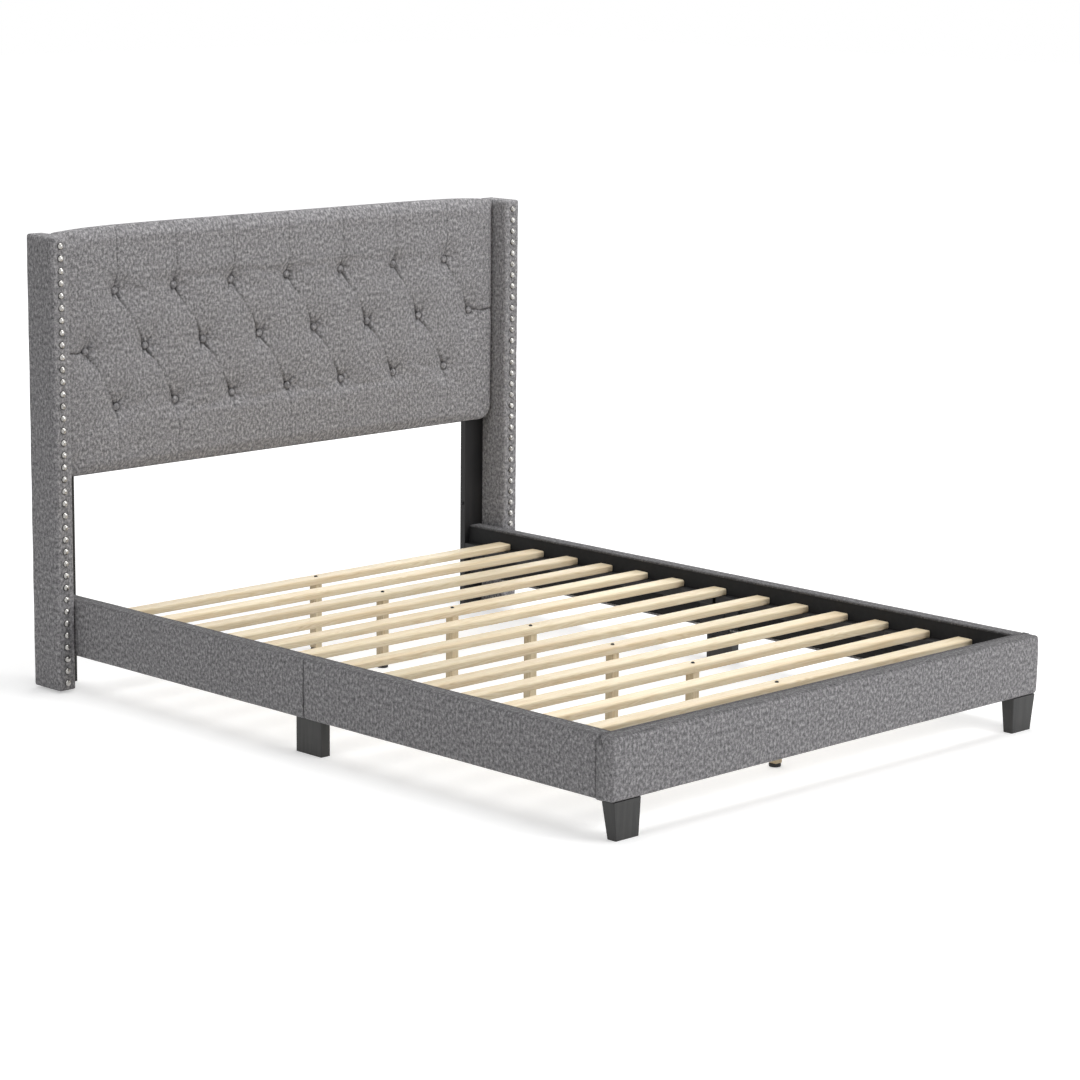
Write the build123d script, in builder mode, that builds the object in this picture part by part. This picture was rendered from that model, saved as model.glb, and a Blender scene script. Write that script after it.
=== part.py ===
from build123d import *
import os

os.makedirs("parts", exist_ok=True)

# Upholstered wingback bed for a queen mattress, in millimetres.
# The origin is on the floor under the middle of the bed, +Y to the headboard, +Z up.
# Left is -X and right is +X, as seen from the foot of the bed.

# Mattress and the room left round it
mattress_width = 1524.0
mattress_length = 2032.0
mattress_side_gap = 8.0
mattress_end_gap = 33.0

# Rails and footboard: a board inside, foam and fabric outside
rail_board_thickness = 20.0
rail_pad_thickness = 30.0
foot_board_thickness = 20.0
foot_pad_thickness = 36.0
rail_clearance = 96.0
rail_height = 160.0
fabric_wrap = 6.0
fabric_hem = 7.0
rail_edge_radius = 9.0
rail_lip_edge = 2.0
rail_crown = 2.5
rail_end_edge = 3.0
foot_corner_radius = 13.0

# Headboard
headboard_height = 1280.0
headboard_top_crown = 11.0
pad_bottom_height = 591.0
pad_depth = 31.0
pad_side_gap = 1.0
pad_corner_radius = 52.0
pad_edge_radius = 13.0
backboard_thickness = 16.0
backboard_reveal = 3.0
dust_cover_thickness = 1.2
dust_cover_inset = 12.0
post_width = 75.0
post_thickness = 22.0
post_top_drop = 60.0
post_edge = 2.0

# Tufting: rows of buttons pulled into the pad, with pleats between them
button_columns = 7
button_side_margin = 96.0
button_row_pitch = 163.0
button_diameter = 19.0
button_height = 6.0
button_rim = 2.0
button_crown_share = 0.55
tuft_diameter = 90.0
tuft_depth = 15.0
tuft_seat_clearance = 1.0
tuft_sides = 8
tuft_ring_shares = ((1.06, -0.1), (0.62, 0.12), (0.38, 0.42))
pleat_depth = 6.0
pleat_width = 15.0
cut_overrun = 2.0

# Wings and their nailheads
wing_thickness = 58.0
wing_depth = 119.0
wing_height = 1268.0
wing_floor_gap = 5.0
wing_rail_gap = 4.0
wing_edge_radius = 11.0
wing_back_radius = 6.0
wing_top_edge = 4.0
wing_crown = 2.0
nail_diameter = 18.5
nail_height = 4.5
nail_sides = 8
nail_crown_share = 0.5
nail_pitch = 33.7
nail_count = 37
nail_end = 27.0

# Legs
mid_leg_length = 100.0
mid_leg_width = 31.0
foot_leg_top_width = 94.0
foot_leg_top_depth = 42.0
foot_leg_bottom_width = 79.0
foot_leg_bottom_depth = 30.0
foot_leg_top_inset = 9.0
foot_leg_bottom_inset = 21.0
foot_leg_front_inset = 5.0
foot_leg_front_taper = 3.0
leg_edge = 2.0

# Slats and their ledges
slats_each_way = 6
slat_pitch = 146.0
slat_middle_pitch = 167.0
slat_width = 52.0
slat_thickness = 20.0
slat_drop = 35.0
slat_edge = 2.0
slat_end_clearance = 2.0
ledge_width = 25.0
ledge_height = 30.0
ledge_end_clearance = 6.0
ledge_edge = 2.0

# Support legs and their screw-in feet
support_leg_x = 24.0
support_leg_y = 28.0
support_leg_edge = 1.0
foot_diameter = 32.0
foot_thickness = 10.0
foot_edge = 2.0
foot_sides = 16
stud_sides = 8
foot_gap = 0.3
stud_diameter = 8.0
stud_length = 34.0
stud_bore_depth = 38.0
stud_clearance = 0.1

# Steel plates and bolts
plate_thickness = 3.0
plate_corner = 5.0
plate_drop = 4.0
joiner_length = 150.0
joiner_height = 112.0
bracket_reach = 60.0
bracket_height = 62.0
bracket_flange = 18.0
bolt_head_width = 10.0
bolt_head_height = 4.0
bolt_margin = 14.0
wing_bolt_shares = (0.27, 0.6, 0.92)
slat_bolt_head_diameter = 10.0
slat_bolt_head_height = 2.5
slat_bolt_sides = 8

# Sizes that follow from these
inner_width = mattress_width + 2 * mattress_side_gap
inner_length = mattress_length + mattress_end_gap + pad_depth + backboard_thickness
foot_panel = foot_board_thickness + foot_pad_thickness
total_length = foot_panel + inner_length + post_thickness
x_inner = inner_width / 2
x_rail = x_inner + rail_board_thickness + rail_pad_thickness
x_wing = x_rail + wing_rail_gap
x_outer = x_wing + wing_thickness
x_post = x_wing - post_width
y_foot = -total_length / 2
y_head = total_length / 2
y_foot_inner = y_foot + foot_panel
y_post = y_head - post_thickness
y_backboard = y_post - backboard_thickness
y_pad = y_backboard - pad_depth
y_wing = y_head - wing_depth
y_seam = (y_foot_inner + y_post) / 2
z_rail_top = rail_clearance + rail_height
z_rail_middle = rail_clearance + rail_height / 2
z_board = rail_clearance + fabric_hem
z_board_top = z_rail_top - fabric_wrap
z_slat_top = z_rail_top - slat_drop
z_slat = z_slat_top - slat_thickness
z_ledge = z_slat - ledge_height
z_plate_top = z_ledge - plate_drop
z_bracket = z_plate_top - bracket_height / 2
backboard_bottom = pad_bottom_height - backboard_reveal
backboard_top = headboard_height - headboard_top_crown - fabric_wrap
post_height = backboard_top - post_top_drop

# Slats, numbered from the headboard, with the middle one over the rail joints
slat_offsets = [0.0]
for step in range(slats_each_way):
    slat_offsets.append(slat_middle_pitch + step * slat_pitch)
    slat_offsets.insert(0, -slat_offsets[-1])
slat_places = [y_seam + offset for offset in reversed(slat_offsets)]
supported = slat_places[::2]

# Buttons: full rows above and below, and a row between them shifted by half a pitch
button_middle = (pad_bottom_height + headboard_height) / 2
button_pitch = 2 * (x_wing - button_side_margin) / button_columns
button_rows = []
for row, extra in ((1, 0), (0, 1), (-1, 0)):
    count = button_columns + extra
    height = button_middle + row * button_row_pitch
    button_rows.append([((i - (count - 1) / 2) * button_pitch, height) for i in range(count)])
buttons = [place for row in button_rows for place in row]

# Bolts through the plates and posts: where each head's underside is
wing_bolt_heights = [share * post_height for share in wing_bolt_shares]
wing_bolt_y = y_post + post_thickness / 2
board_bolts = []
for sign in (-1, 1):
    for share in (1, 3):
        board_bolts.append((y_seam + sign * joiner_length / 2 * share / 4, z_bracket))
    board_bolts.append((y_foot_inner + bracket_reach / 2 + sign * bolt_margin, z_bracket))
    board_bolts.append((y_post - bracket_reach / 2 + sign * bolt_margin, z_bracket))
leg_bolts = [
    (y_seam + sign * mid_leg_length / 4, z_plate_top - joiner_height + bolt_margin) for sign in (-1, 1)
]
post_bolts = [
    (x_inner - (bracket_flange + plate_thickness) / 2, z_bracket + sign * bolt_margin) for sign in (-1, 1)
]
foot_bolts = [(x_inner - bracket_reach / 2 + sign * bolt_margin, z_bracket) for sign in (-1, 1)]


# Headboard backboard, just proud of the pad's lower edge
with BuildPart() as headboard_backboard:
    with BuildSketch(Plane.XZ.offset(-y_post)):
        with BuildLine():
            Polyline(
                (-x_wing, backboard_bottom),
                (-x_wing, backboard_top),
                (x_wing, backboard_top),
                (x_wing, backboard_bottom),
                close=True,
            )
        outline = make_face()
        fillet(outline.vertices().group_by(Axis.Y)[0], pad_corner_radius)
    extrude(amount=backboard_thickness)
headboard_backboard.part.label = "headboard_backboard"
export_step(headboard_backboard.part, "parts/headboard_backboard.step")


# Tufted pad: the tuft is the hollow that one button pulls, with its sides curving in like the foam
tuft_seat = button_diameter / 2 + tuft_seat_clearance
with BuildPart() as tuft:
    for radius_share, depth_share in tuft_ring_shares:
        with BuildSketch(Plane.XZ.offset(-depth_share * tuft_depth)):
            RegularPolygon(radius_share * tuft_diameter / 2, tuft_sides)
    with BuildSketch(Plane.XZ.offset(-tuft_depth)):
        RegularPolygon(tuft_seat, tuft_sides)
    loft(ruled=True)

# Pleats run on the diagonals between rows, up from the top row, down from the bottom row and out to the sides
top_row, middle_row, bottom_row = button_rows
pleat_lines = []
for i, place in enumerate(top_row):
    pleat_lines += [(place, middle_row[i]), (place, middle_row[i + 1])]
    pleat_lines.append((place, (place[0], headboard_height + cut_overrun)))
for i, place in enumerate(bottom_row):
    pleat_lines += [(place, middle_row[i]), (place, middle_row[i + 1])]
    pleat_lines.append((place, (place[0], pad_bottom_height - cut_overrun)))
pleat_lines.append((middle_row[0], (-x_wing, middle_row[0][1])))
pleat_lines.append((middle_row[-1], (x_wing, middle_row[-1][1])))
with BuildPart() as pleats:
    for start, end in pleat_lines:
        run = Vector(end[0] - start[0], 0, end[1] - start[1])
        across = run.normalized().cross(Vector(0, 1, 0))
        with BuildSketch(Plane(origin=(start[0], y_pad, start[1]), x_dir=across, z_dir=run)):
            with BuildLine():
                Polyline(
                    (-pleat_width / 2, 0),
                    (-pleat_width / 2, cut_overrun),
                    (pleat_width / 2, cut_overrun),
                    (pleat_width / 2, 0),
                    (0, -pleat_depth),
                    close=True,
                )
            make_face()
        extrude(amount=run.length)

with BuildPart() as headboard_pad:
    x_pad = x_wing - pad_side_gap
    z_pad_end = headboard_height - headboard_top_crown
    with BuildSketch(Plane.XZ.offset(-y_post)):
        with BuildLine():
            Polyline(
                (-x_pad, z_pad_end), (-x_pad, pad_bottom_height), (x_pad, pad_bottom_height), (x_pad, z_pad_end)
            )
            ThreePointArc((x_pad, z_pad_end), (0, headboard_height), (-x_pad, z_pad_end))
        elevation = make_face()
        fillet(elevation.vertices().group_by(Axis.Y)[0], pad_corner_radius)
    extrude(amount=y_post - y_pad)
    fillet(faces().sort_by(Axis.Y)[0].edges(), pad_edge_radius)
    add(headboard_backboard.part, mode=Mode.SUBTRACT)
    with Locations(*[(x, y_pad, z) for x, z in buttons]):
        add(tuft.part, mode=Mode.SUBTRACT)
    add(pleats.part, mode=Mode.SUBTRACT)
headboard_pad.part.label = "headboard_pad"
export_step(headboard_pad.part, "parts/headboard_pad.step")


# Fabric-covered buttons, low domes seated in the tufts
with BuildPart() as button:
    with BuildSketch(Plane.XZ.offset(-tuft_depth)):
        RegularPolygon(button_diameter / 2, tuft_sides)
    with BuildSketch(Plane.XZ.offset(-(tuft_depth - button_rim))):
        RegularPolygon(button_diameter / 2, tuft_sides)
    with BuildSketch(Plane.XZ.offset(-(tuft_depth - button_height))):
        RegularPolygon(button_crown_share * button_diameter / 2, tuft_sides)
    loft(ruled=True)
with BuildPart() as headboard_buttons:
    with Locations(*[(x, y_pad, z) for x, z in buttons]):
        add(button.part)
headboard_buttons.part.label = "headboard_buttons"
export_step(headboard_buttons.part, "parts/headboard_buttons.step")


# Dust cover, a cloth stretched over the back of the backboard between the posts
with BuildPart() as headboard_dust_cover:
    with BuildSketch(Plane.XZ.offset(-y_post)):
        with Locations((0, (backboard_top + backboard_bottom) / 2)):
            Rectangle(2 * (x_post - dust_cover_inset), backboard_top - backboard_bottom - 2 * dust_cover_inset)
    extrude(amount=-dust_cover_thickness)
headboard_dust_cover.part.label = "headboard_dust_cover"
export_step(headboard_dust_cover.part, "parts/headboard_dust_cover.step")


# Posts, boards that stand on the floor and carry the backboard, the wings and the rails
with BuildPart() as right_post:
    with BuildSketch(Plane.XY):
        with Locations(((x_post + x_wing) / 2, (y_post + y_head) / 2)):
            Rectangle(post_width, post_thickness)
    extrude(amount=post_height)
    chamfer(faces().sort_by(Axis.Y)[-1].edges(), post_edge)
right_post.part.label = "right_post"
export_step(right_post.part, "parts/right_post.step")

with BuildPart() as left_post:
    mirror(right_post.part, about=Plane.YZ)
left_post.part.label = "left_post"
export_step(left_post.part, "parts/left_post.step")


# Wings: upholstered panels that stand forward of the headboard, their outer sides slightly full
with BuildPart() as right_wing:
    with BuildSketch(Plane.XY.offset(wing_floor_gap)):
        with BuildLine():
            Polyline(
                (x_outer - wing_crown, y_wing), (x_wing, y_wing), (x_wing, y_head), (x_outer - wing_crown, y_head)
            )
            ThreePointArc(
                (x_outer - wing_crown, y_wing),
                (x_outer, (y_wing + y_head) / 2),
                (x_outer - wing_crown, y_head),
            )
        section = make_face()
        fillet(section.vertices().group_by(Axis.Y)[0], wing_edge_radius)
        fillet(section.vertices().group_by(Axis.Y)[-1].sort_by(Axis.X)[-1], wing_back_radius)
    extrude(amount=wing_height - wing_floor_gap)
    chamfer(faces().sort_by(Axis.Z)[-1].edges(), wing_top_edge)
right_wing.part.label = "right_wing"
export_step(right_wing.part, "parts/right_wing.step")

with BuildPart() as left_wing:
    mirror(right_wing.part, about=Plane.YZ)
left_wing.part.label = "left_wing"
export_step(left_wing.part, "parts/left_wing.step")


# Nailheads: domes in one row down the front of each wing
with BuildPart() as nail:
    with BuildSketch(Plane.XZ):
        RegularPolygon(nail_diameter / 2, nail_sides)
    with BuildSketch(Plane.XZ.offset(nail_height)):
        RegularPolygon(nail_crown_share * nail_diameter / 2, nail_sides)
    loft(ruled=True)
x_nails = (x_wing + x_outer - wing_crown) / 2
with BuildPart() as right_wing_nails:
    with Locations(*[(x_nails, y_wing, wing_height - nail_end - i * nail_pitch) for i in range(nail_count)]):
        add(nail.part)
right_wing_nails.part.label = "right_wing_nails"
export_step(right_wing_nails.part, "parts/right_wing_nails.step")

with BuildPart() as left_wing_nails:
    mirror(right_wing_nails.part, about=Plane.YZ)
left_wing_nails.part.label = "left_wing_nails"
export_step(left_wing_nails.part, "parts/left_wing_nails.step")


# Side rails, each in two halves: a board with its inner face black
for half, y_start, y_end in (("foot", y_foot_inner, y_seam), ("head", y_seam, y_post)):
    with BuildPart() as rail_board:
        with BuildSketch(Plane.XY.offset(z_board)):
            with Locations((x_inner + rail_board_thickness / 2, (y_start + y_end) / 2)):
                Rectangle(rail_board_thickness, y_end - y_start)
        extrude(amount=z_board_top - z_board)
    rail_board.part.label = f"right_{half}_rail_board"
    export_step(rail_board.part, f"parts/right_{half}_rail_board.step")

    with BuildPart() as rail_board_mirrored:
        mirror(rail_board.part, about=Plane.YZ)
    rail_board_mirrored.part.label = f"left_{half}_rail_board"
    export_step(rail_board_mirrored.part, f"parts/left_{half}_rail_board.step")

    # Foam and fabric, full on the outside, wrapped over the board's top and under its bottom edge
    with BuildPart() as rail_cover:
        with BuildSketch(Plane.XZ.offset(-y_end)):
            with BuildLine():
                Polyline(
                    (x_rail - rail_crown, z_rail_top),
                    (x_inner, z_rail_top),
                    (x_inner, rail_clearance),
                    (x_rail - rail_crown, rail_clearance),
                )
                ThreePointArc(
                    (x_rail - rail_crown, rail_clearance),
                    (x_rail, z_rail_middle),
                    (x_rail - rail_crown, z_rail_top),
                )
            section = make_face()
            fillet(section.vertices().group_by(Axis.X)[-1], rail_edge_radius)
            chamfer(section.vertices().group_by(Axis.X)[0].sort_by(Axis.Y)[-1], rail_lip_edge)
        extrude(amount=y_end - y_start)
        ends = edges().group_by(Axis.Y)[0] + edges().group_by(Axis.Y)[-1]
        chamfer(ends.filter_by(lambda e: e.center().X > x_inner + rail_board_thickness), rail_end_edge)
        with BuildSketch(Plane.XY.offset(z_board)):
            with Locations((x_inner + rail_board_thickness / 2, (y_start + y_end) / 2)):
                Rectangle(rail_board_thickness, y_end - y_start)
        extrude(amount=z_board_top - z_board, mode=Mode.SUBTRACT)
    rail_cover.part.label = f"right_{half}_rail_cover"
    export_step(rail_cover.part, f"parts/right_{half}_rail_cover.step")

    with BuildPart() as rail_cover_mirrored:
        mirror(rail_cover.part, about=Plane.YZ)
    rail_cover_mirrored.part.label = f"left_{half}_rail_cover"
    export_step(rail_cover_mirrored.part, f"parts/left_{half}_rail_cover.step")

    # Slat ledge, a batten along the inside of the board
    with BuildPart() as ledge:
        with BuildSketch(Plane.XZ.offset(-(y_end - ledge_end_clearance))):
            with Locations((x_inner - ledge_width / 2, z_slat - ledge_height / 2)):
                batten = Rectangle(ledge_width, ledge_height)
            chamfer(batten.vertices().group_by(Axis.X)[0], ledge_edge)
        extrude(amount=y_end - y_start - 2 * ledge_end_clearance)
    ledge.part.label = f"right_{half}_slat_ledge"
    export_step(ledge.part, f"parts/right_{half}_slat_ledge.step")

    with BuildPart() as ledge_mirrored:
        mirror(ledge.part, about=Plane.YZ)
    ledge_mirrored.part.label = f"left_{half}_slat_ledge"
    export_step(ledge_mirrored.part, f"parts/left_{half}_slat_ledge.step")


# Footboard: a board in a padded cover that wraps its top, bottom and ends
x_foot_board = x_rail - fabric_wrap
with BuildPart() as footboard_board:
    with BuildSketch(Plane.XZ.offset(-y_foot_inner)):
        with Locations((0, (z_board + z_board_top) / 2)):
            Rectangle(2 * x_foot_board, z_board_top - z_board)
    extrude(amount=foot_board_thickness)
footboard_board.part.label = "footboard_board"
export_step(footboard_board.part, "parts/footboard_board.step")

with BuildPart() as footboard_cover:
    with BuildSketch(Plane.YZ.offset(-x_rail)):
        with BuildLine():
            Polyline(
                (y_foot + rail_crown, z_rail_top),
                (y_foot_inner, z_rail_top),
                (y_foot_inner, rail_clearance),
                (y_foot + rail_crown, rail_clearance),
            )
            ThreePointArc(
                (y_foot + rail_crown, rail_clearance),
                (y_foot, z_rail_middle),
                (y_foot + rail_crown, z_rail_top),
            )
        make_face()
    extrude(amount=2 * x_rail)
    upright = edges().filter_by(lambda e: abs(e.center().X) > x_foot_board and e.center().Y < y_foot + rail_crown)
    fillet(upright, foot_corner_radius)
    rims = faces().filter_by(Axis.Z).edges()
    fillet(rims.filter_by(lambda e: e.center().Y < y_foot_inner - rail_crown), rail_edge_radius)
    with BuildSketch(Plane.XZ.offset(-y_foot_inner)):
        with Locations((0, (z_board + z_board_top) / 2)):
            Rectangle(2 * x_foot_board, z_board_top - z_board)
    extrude(amount=foot_board_thickness, mode=Mode.SUBTRACT)
footboard_cover.part.label = "footboard_cover"
export_step(footboard_cover.part, "parts/footboard_cover.step")


# Middle legs, straight blocks under the rail joints
with BuildPart() as right_mid_leg:
    with BuildSketch(Plane.XY):
        with Locations((x_inner + mid_leg_width / 2, y_seam)):
            Rectangle(mid_leg_width, mid_leg_length)
    extrude(amount=rail_clearance)
    chamfer(edges().filter_by(Axis.Z), leg_edge)
right_mid_leg.part.label = "right_mid_leg"
export_step(right_mid_leg.part, "parts/right_mid_leg.step")

with BuildPart() as left_mid_leg:
    mirror(right_mid_leg.part, about=Plane.YZ)
left_mid_leg.part.label = "left_mid_leg"
export_step(left_mid_leg.part, "parts/left_mid_leg.step")


# Foot legs taper down, mostly on their outer side and their back
with BuildPart() as right_foot_leg:
    with BuildSketch(Plane.XY.offset(rail_clearance)):
        with Locations(
            (
                x_rail - foot_leg_top_inset - foot_leg_top_width / 2,
                y_foot + foot_leg_front_inset + foot_leg_top_depth / 2,
            )
        ):
            Rectangle(foot_leg_top_width, foot_leg_top_depth)
    with BuildSketch(Plane.XY):
        with Locations(
            (
                x_rail - foot_leg_bottom_inset - foot_leg_bottom_width / 2,
                y_foot + foot_leg_front_inset + foot_leg_front_taper + foot_leg_bottom_depth / 2,
            )
        ):
            Rectangle(foot_leg_bottom_width, foot_leg_bottom_depth)
    loft(ruled=True)
    chamfer(edges().filter_by(lambda e: abs(e.center().Z - rail_clearance / 2) < leg_edge), leg_edge)
right_foot_leg.part.label = "right_foot_leg"
export_step(right_foot_leg.part, "parts/right_foot_leg.step")

with BuildPart() as left_foot_leg:
    mirror(right_foot_leg.part, about=Plane.YZ)
left_foot_leg.part.label = "left_foot_leg"
export_step(left_foot_leg.part, "parts/left_foot_leg.step")


# Joiner plates across the rail joints, down onto the middle legs
with BuildPart() as rail_joiner_plates:
    with BuildSketch(Plane.YZ.offset(x_inner - plate_thickness)):
        with Locations((y_seam, z_plate_top - joiner_height / 2)):
            plate = Rectangle(joiner_length, joiner_height)
        chamfer(plate.vertices(), plate_corner)
    extrude(amount=plate_thickness)
    mirror(about=Plane.YZ)
rail_joiner_plates.part.label = "rail_joiner_plates"
export_step(rail_joiner_plates.part, "parts/rail_joiner_plates.step")


# Angle brackets in the foot corners and at the posts
with BuildPart() as foot_corner_brackets:
    with BuildSketch(Plane.XY.offset(z_plate_top - bracket_height)):
        with BuildLine():
            Polyline(
                (x_inner, y_foot_inner),
                (x_inner, y_foot_inner + bracket_reach),
                (x_inner - plate_thickness, y_foot_inner + bracket_reach),
                (x_inner - plate_thickness, y_foot_inner + plate_thickness),
                (x_inner - bracket_reach, y_foot_inner + plate_thickness),
                (x_inner - bracket_reach, y_foot_inner),
                close=True,
            )
        make_face()
    extrude(amount=bracket_height)
    mirror(about=Plane.YZ)
foot_corner_brackets.part.label = "foot_corner_brackets"
export_step(foot_corner_brackets.part, "parts/foot_corner_brackets.step")

with BuildPart() as head_rail_brackets:
    with BuildSketch(Plane.XY.offset(z_plate_top - bracket_height)):
        with BuildLine():
            Polyline(
                (x_inner, y_post),
                (x_inner, y_post - bracket_reach),
                (x_inner - plate_thickness, y_post - bracket_reach),
                (x_inner - plate_thickness, y_post - plate_thickness),
                (x_inner - bracket_flange, y_post - plate_thickness),
                (x_inner - bracket_flange, y_post),
                close=True,
            )
        make_face()
    extrude(amount=bracket_height)
    mirror(about=Plane.YZ)
head_rail_brackets.part.label = "head_rail_brackets"
export_step(head_rail_brackets.part, "parts/head_rail_brackets.step")


# Frame bolts: the hexagon heads on the plates and on the inner edges of the posts
with BuildPart() as frame_bolts:
    for y, z in board_bolts + leg_bolts:
        with BuildSketch(Plane(origin=(x_inner - plate_thickness, y, z), x_dir=(0, 1, 0), z_dir=(-1, 0, 0))):
            RegularPolygon(bolt_head_width / 2, 6)
    for height in wing_bolt_heights:
        with BuildSketch(Plane(origin=(x_post, wing_bolt_y, height), x_dir=(0, 1, 0), z_dir=(-1, 0, 0))):
            RegularPolygon(bolt_head_width / 2, 6)
    for x, z in post_bolts:
        with BuildSketch(Plane(origin=(x, y_post - plate_thickness, z), x_dir=(1, 0, 0), z_dir=(0, -1, 0))):
            RegularPolygon(bolt_head_width / 2, 6)
    for x, z in foot_bolts:
        with BuildSketch(Plane(origin=(x, y_foot_inner + plate_thickness, z), x_dir=(1, 0, 0), z_dir=(0, 1, 0))):
            RegularPolygon(bolt_head_width / 2, 6)
    extrude(amount=bolt_head_height)
    mirror(about=Plane.YZ)
frame_bolts.part.label = "frame_bolts"
export_step(frame_bolts.part, "parts/frame_bolts.step")


# Slats with eased edges
slat_length = 2 * (x_inner - slat_end_clearance)
for number, y in enumerate(slat_places, start=1):
    with BuildPart() as slat:
        with BuildSketch(Plane.YZ.offset(-slat_length / 2)):
            with Locations((y, z_slat + slat_thickness / 2)):
                plank = Rectangle(slat_width, slat_thickness)
            chamfer(plank.vertices(), slat_edge)
        extrude(amount=slat_length)
    slat.part.label = f"slat_{number:02d}"
    export_step(slat.part, f"parts/slat_{number:02d}.step")

# Slat bolts: the flat round heads that hold the support legs
with BuildPart() as slat_bolts:
    with BuildSketch(Plane.XY.offset(z_slat_top)):
        with Locations(*[(0, y) for y in supported]):
            RegularPolygon(slat_bolt_head_diameter / 2, slat_bolt_sides)
    extrude(amount=slat_bolt_head_height)
slat_bolts.part.label = "slat_bolts"
export_step(slat_bolts.part, "parts/slat_bolts.step")


# Support legs, bored below for the foot's stud
for number, y in enumerate(supported, start=1):
    with BuildPart() as support_leg:
        with BuildSketch(Plane.XY.offset(foot_thickness + foot_gap)):
            with Locations((0, y)):
                Rectangle(support_leg_x, support_leg_y)
        extrude(amount=z_slat - foot_thickness - foot_gap)
        chamfer(edges().filter_by(Axis.Z), support_leg_edge)
        with BuildSketch(Plane.XY.offset(foot_thickness + foot_gap)):
            with Locations((0, y)):
                RegularPolygon(stud_diameter / 2 + stud_clearance, stud_sides, major_radius=False)
        extrude(amount=stud_bore_depth, mode=Mode.SUBTRACT)
    support_leg.part.label = f"support_leg_{number}"
    export_step(support_leg.part, f"parts/support_leg_{number}.step")

    # Screw-in foot: a round pad with its stud, screwed right in
    with BuildPart() as levelling_foot:
        with BuildSketch(Plane.XY):
            with Locations((0, y)):
                RegularPolygon(foot_diameter / 2, foot_sides)
        extrude(amount=foot_thickness)
        chamfer(edges().group_by(Axis.Z)[0], foot_edge)
        with BuildSketch(Plane.XY.offset(foot_thickness)):
            with Locations((0, y)):
                RegularPolygon(stud_diameter / 2, stud_sides, major_radius=False)
        extrude(amount=stud_length)
    levelling_foot.part.label = f"levelling_foot_{number}"
    export_step(levelling_foot.part, f"parts/levelling_foot_{number}.step")
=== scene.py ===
import math

import bmesh
import bpy
import numpy as np
from mathutils import Matrix, Vector


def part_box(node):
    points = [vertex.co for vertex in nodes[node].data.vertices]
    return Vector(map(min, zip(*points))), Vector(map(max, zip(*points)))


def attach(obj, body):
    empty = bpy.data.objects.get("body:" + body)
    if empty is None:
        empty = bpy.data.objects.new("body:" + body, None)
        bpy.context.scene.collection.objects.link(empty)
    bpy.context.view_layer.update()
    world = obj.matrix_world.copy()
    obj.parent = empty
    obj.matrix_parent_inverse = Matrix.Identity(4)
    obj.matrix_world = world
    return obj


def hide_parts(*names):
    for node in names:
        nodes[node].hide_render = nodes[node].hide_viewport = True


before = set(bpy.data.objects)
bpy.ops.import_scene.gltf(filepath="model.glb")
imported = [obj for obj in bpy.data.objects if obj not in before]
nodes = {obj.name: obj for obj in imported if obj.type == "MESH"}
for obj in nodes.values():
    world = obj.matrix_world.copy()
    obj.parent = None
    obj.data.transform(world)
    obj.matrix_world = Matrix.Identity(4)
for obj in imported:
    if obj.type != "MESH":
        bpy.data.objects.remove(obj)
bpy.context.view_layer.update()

# The studio: a white floor that keeps the bed's shadow, a white surround, and four soft lamps.
# The camera stands off the bed's near foot corner with a long lens, a little above it.
def node(tree, kind, inputs=None, **settings):
    """Adds a node to a tree. Its inputs are given as values, or as sockets that are linked."""
    made = tree.nodes.new(kind)
    for key, value in settings.items():
        setattr(made, key, value)
    for key, value in (inputs or {}).items():
        if isinstance(value, bpy.types.NodeSocket):
            tree.links.new(value, made.inputs[key])
        else:
            made.inputs[key].default_value = value
    return made


def reckon(tree, operation, *values):
    return node(tree, "ShaderNodeMath", dict(enumerate(values)), operation=operation).outputs[0]


def seen_white(tree):
    """1 for a ray that is seen, directly or by way of a shine or a clear thing, and 0 for one that lights."""
    path = node(tree, "ShaderNodeLightPath").outputs
    seen = reckon(tree, "MAXIMUM", path["Is Camera Ray"], path["Is Glossy Ray"])
    return reckon(tree, "MAXIMUM", seen, path["Is Transmission Ray"])


white = (1, 1, 1, 1)
world = bpy.data.worlds.new("white_surround")
world.use_nodes = True
sky = world.node_tree
sky.nodes.clear()
shown = node(sky, "ShaderNodeBackground", {"Color": white, "Strength": 1.0})
fill_light = node(sky, "ShaderNodeBackground", {"Color": white, "Strength": 0.31})
both = node(sky, "ShaderNodeMixShader", {0: seen_white(sky), 1: fill_light.outputs[0], 2: shown.outputs[0]})
node(sky, "ShaderNodeOutputWorld", {"Surface": both.outputs[0]})
bpy.context.scene.world = world

floor_paint = bpy.data.materials.new("studio_floor")
floor_paint.use_nodes = True
paint = floor_paint.node_tree
paint.nodes.clear()
matt = node(paint, "ShaderNodeBsdfDiffuse", {"Color": (0.8, 0.8, 0.8, 1)})
place = node(paint, "ShaderNodeTexCoord").outputs["Object"]
away = node(paint, "ShaderNodeVectorMath", {0: place}, operation="LENGTH").outputs["Value"]
rise = node(paint, "ShaderNodeMapRange", {
    "Value": away, "From Min": 2.2, "From Max": 8.0, "To Min": 0.42, "To Max": 0.85},
    interpolation_type="SMOOTHSTEP").outputs[0]
lift = reckon(paint, "MULTIPLY", seen_white(paint), rise)
glow = node(paint, "ShaderNodeEmission", {"Color": white, "Strength": lift})
added = node(paint, "ShaderNodeAddShader", {0: matt.outputs[0], 1: glow.outputs[0]})
node(paint, "ShaderNodeOutputMaterial", {"Surface": added.outputs[0]})
reach = 30
floor_mesh = bpy.data.meshes.new("studio_floor")
floor_corners = [(a * reach, b * reach, 0) for a, b in ((-1, -1), (1, -1), (1, 1), (-1, 1))]
floor_mesh.from_pydata(floor_corners, [], [(0, 1, 2, 3)])
floor_mesh.materials.append(floor_paint)
floor = bpy.data.objects.new("studio_floor", floor_mesh)
bpy.context.scene.collection.objects.link(floor)

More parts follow.
